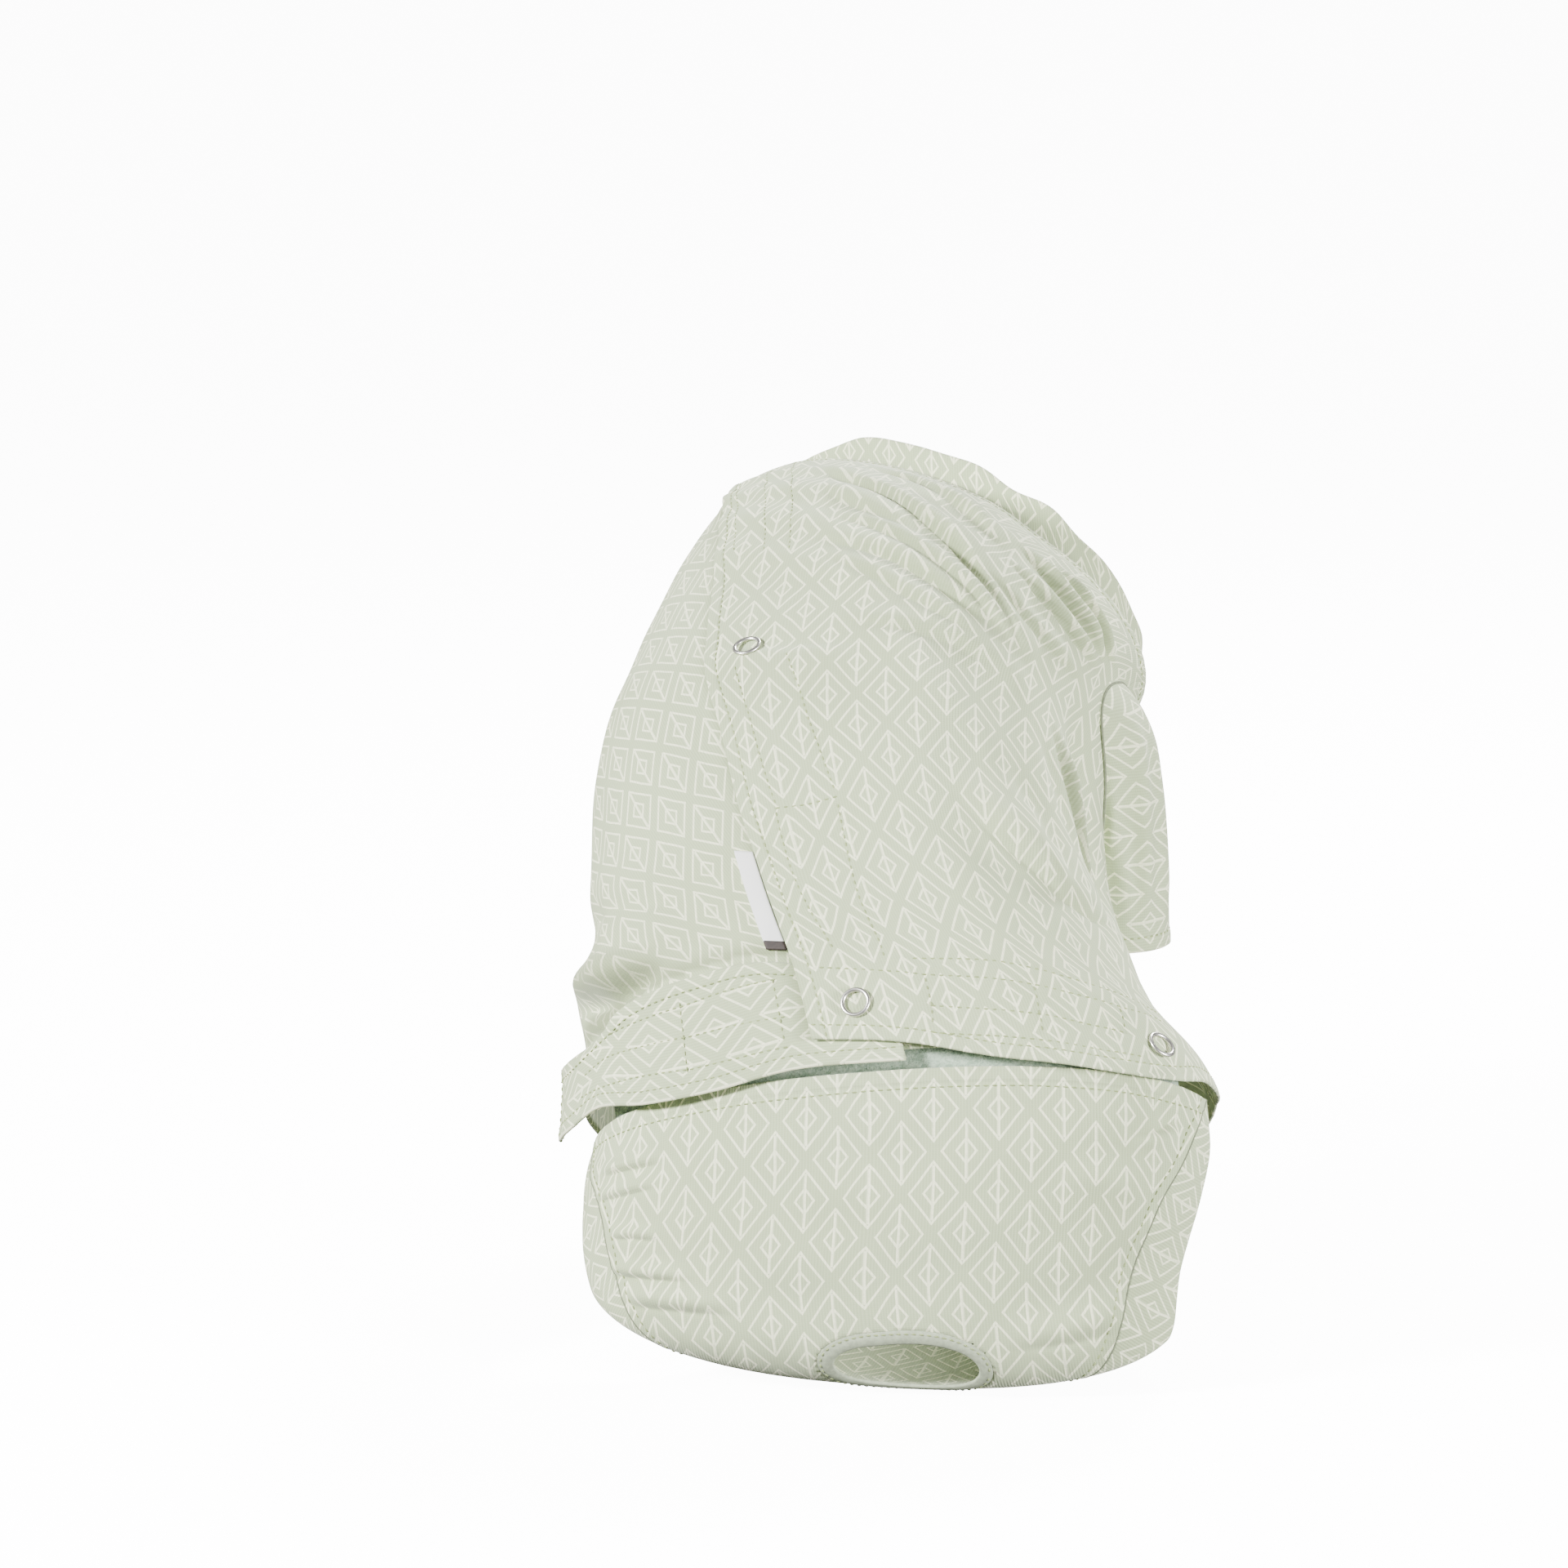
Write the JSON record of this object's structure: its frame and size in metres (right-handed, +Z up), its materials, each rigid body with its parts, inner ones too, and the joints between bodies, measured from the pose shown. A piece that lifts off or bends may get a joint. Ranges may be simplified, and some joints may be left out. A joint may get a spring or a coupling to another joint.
{
  "type": "dog jumpsuit",
  "caption": "Hollow wrap-over recovery suit for a small dog in sage jersey, kept in its worn sitting form, with short front sleeves, a waist band and a seat with leg and tail openings.",
  "frame": {"origin": "lowest point of the seat under the rump, where the worn suit meets the ground; the wearer's body holds it there", "axes": "+Z up, +Y the way the wearer's body faces, +X the wearer's right side"},
  "size_m": [0.2343, 0.3196, 0.3003],
  "materials": {
    "jersey": "fine ribbed cotton jersey with a cream line pattern",
    "cuff_jersey": "fine ribbed cotton jersey, rib across",
    "loop_tape": "mint green loop tape",
    "tag_cloth": "smooth woven white tape, blank",
    "snap_steel": "polished open ring"
  },
  "bodies": {
    "root": {"wing_right_upper": "jersey", "wing_left_lower": "jersey", "chest_panel": "jersey", "collar": "jersey", "waist_band_left": "jersey", "sleeve_right": "jersey", "sleeve_left": "jersey", "seat_panel": "jersey", "leg_cuff_left": "cuff_jersey", "leg_cuff_right": "cuff_jersey", "tail_opening_binding": "cuff_jersey", "seat_loop_strip": "loop_tape", "side_tag": "tag_cloth", "ring_snap_back": "snap_steel", "ring_snap_waist": "snap_steel", "ring_snap_side": "snap_steel"}
  },
  "joints": []
}
